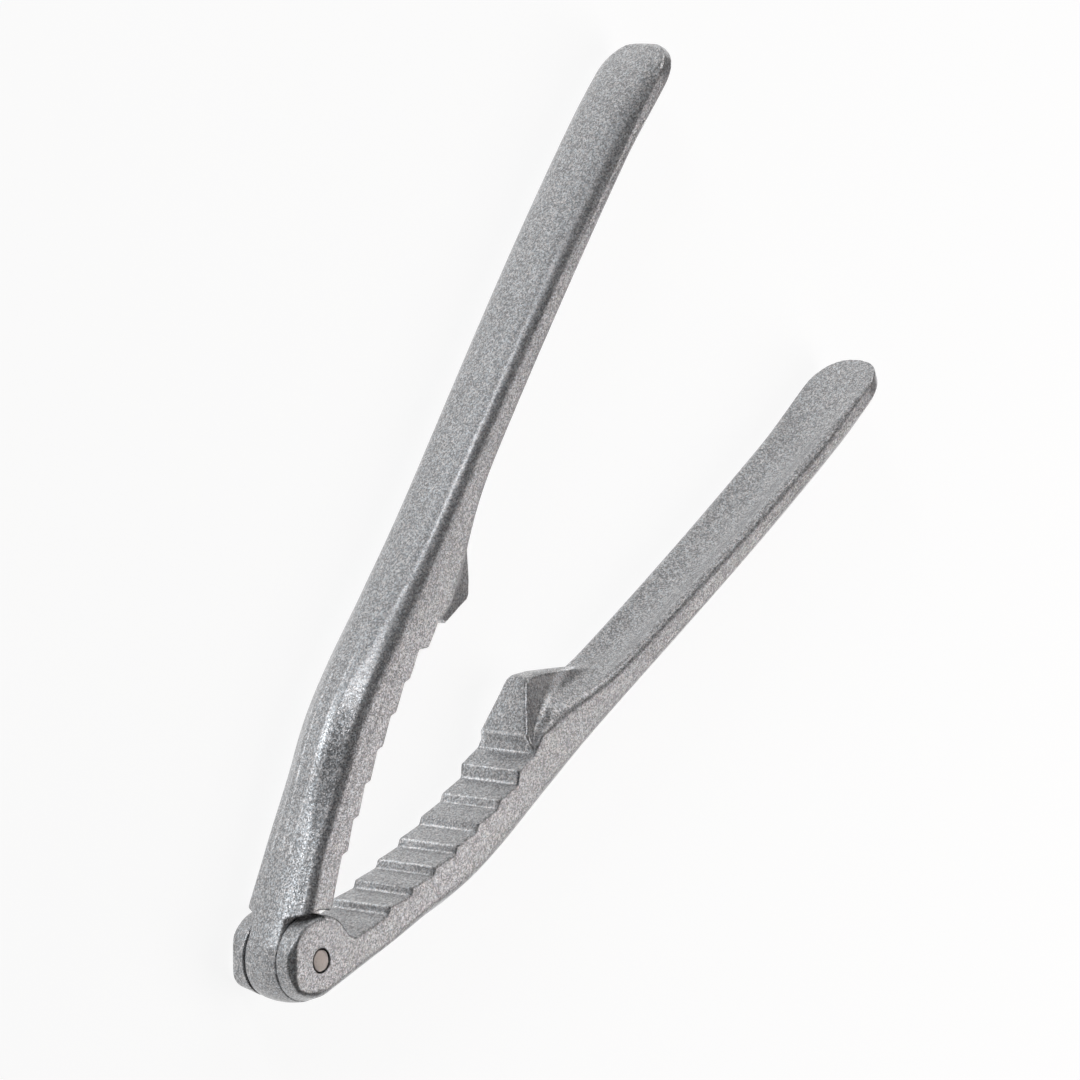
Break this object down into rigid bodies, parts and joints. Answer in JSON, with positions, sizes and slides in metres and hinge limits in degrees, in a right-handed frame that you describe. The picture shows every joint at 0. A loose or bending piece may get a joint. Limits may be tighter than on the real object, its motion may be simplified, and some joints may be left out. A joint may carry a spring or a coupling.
{
  "type": "lever nutcracker",
  "caption": "Hand nutcracker: two cast levers hinged at one end on a steel pin, with toothed jaws, a wedge behind each jaw and long troughed handles.",
  "frame": {"origin": "on the hinge pin's axis, in the plane of the side face that the nutcracker lies on", "axes": "+Z is the hinge pin's axis, up from that side face; +X runs from the hinge midway between the two open levers; the fork lever is at -Y"},
  "size_m": [0.1642, 0.0818, 0.0134],
  "materials": {
    "lever_coating": "die-cast aluminium with a fine-grained silver sparkle coating",
    "pin_steel": "plain steel, ground end face"
  },
  "bodies": {
    "fork": {"fork_lever": "lever_coating", "hinge_pin": "pin_steel"},
    "tongue": {"tongue_lever": "lever_coating"}
  },
  "joints": [
    {"name": "hinge", "type": "hinge", "parent": "fork", "child": "tongue", "pos_m": [0, 0, 0.0067], "axis": [0, 0, 1], "range_deg": [-16.6, 136]}
  ]
}
